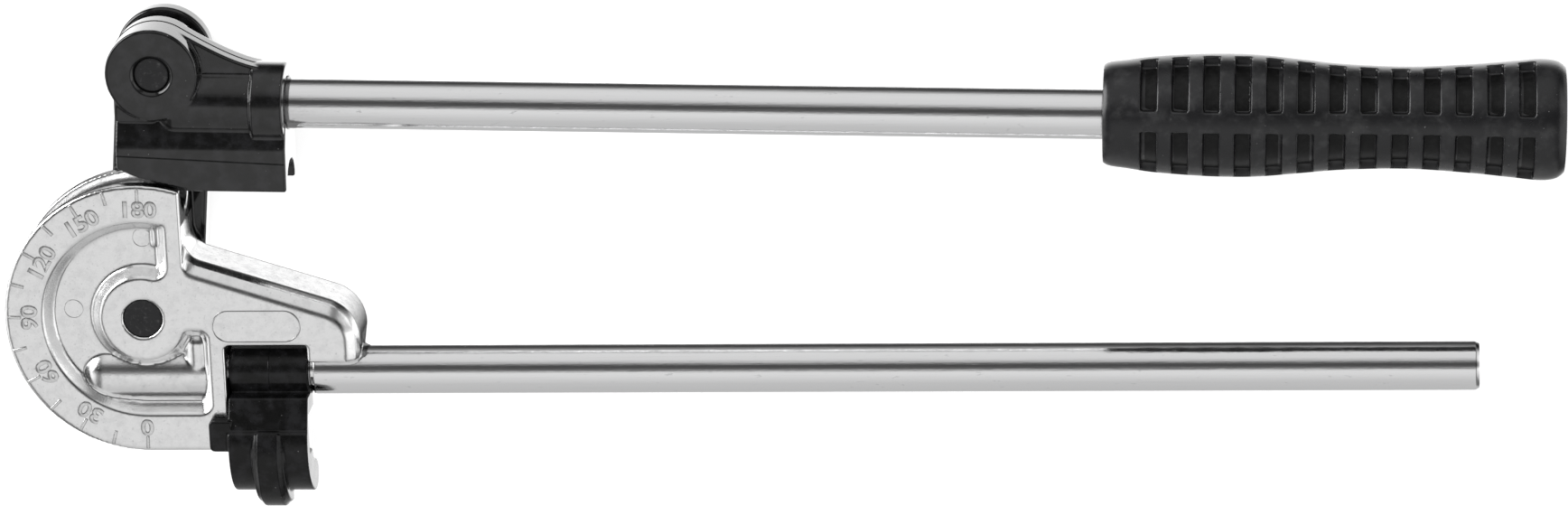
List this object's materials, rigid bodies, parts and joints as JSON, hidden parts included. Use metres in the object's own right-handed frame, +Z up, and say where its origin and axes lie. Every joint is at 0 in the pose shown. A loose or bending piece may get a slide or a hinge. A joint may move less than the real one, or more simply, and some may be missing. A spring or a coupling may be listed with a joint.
{
  "type": "tube bending pliers",
  "caption": "Two-lever hand tube bender: a grooved former with a degree scale, a swinging shoe that bends the tube round it, and a hinged holding hook.",
  "frame": {"origin": "centre of the pivot pin's rear end, level with the back of the link that the pliers lie on", "axes": "+X along the levers towards the grip, +Y from the lower lever to the upper lever, +Z up through the face with the scale"},
  "size_m": [0.3637, 0.1193, 0.0289],
  "materials": {
    "cast_aluminium": "bright die-cast",
    "plated_steel": "bright plated",
    "black_casting": "semi-gloss black coating on a die casting",
    "dark_steel": "blackened steel",
    "spring_steel": "ground steel",
    "bronze": "sintered bronze",
    "black_rubber": "satin black grip"
  },
  "bodies": {
    "former_and_lower_lever": {"former": "cast_aluminium", "lower_handle": "plated_steel", "lower_handle_pin": "spring_steel", "lower_handle_plug": "plated_steel", "pivot_pin": "dark_steel", "pivot_washer": "spring_steel", "pivot_end_washer": "spring_steel", "pivot_retaining_ring": "spring_steel"},
    "link": {"link_arm": "black_casting", "pivot_bush": "bronze", "hub_bush": "bronze"},
    "shoe_and_upper_lever": {"handle_block": "black_casting", "upper_handle": "plated_steel", "upper_handle_pin": "spring_steel", "grip": "black_rubber", "hub_pin": "dark_steel", "hub_washer": "spring_steel", "hub_end_washer": "spring_steel", "hub_retaining_ring": "spring_steel"},
    "hook": {"latch": "black_casting"}
  },
  "joints": [
    {"name": "link_swing", "type": "hinge", "parent": "former_and_lower_lever", "child": "link", "pos_m": [0, 0, 0.01435], "axis": [0, 0, 1], "range_deg": [0, 180]},
    {"name": "lever_swing", "type": "hinge", "parent": "link", "child": "shoe_and_upper_lever", "pos_m": [0.0057, 0.0593, 0.01435], "axis": [0, 0, 1], "range_deg": [0, 120]},
    {"name": "hook_swing", "type": "hinge", "parent": "former_and_lower_lever", "child": "hook", "pos_m": [0.0286, -0.01516, 0.01435], "axis": [-1, 0, 0], "range_deg": [0, 70]}
  ]
}
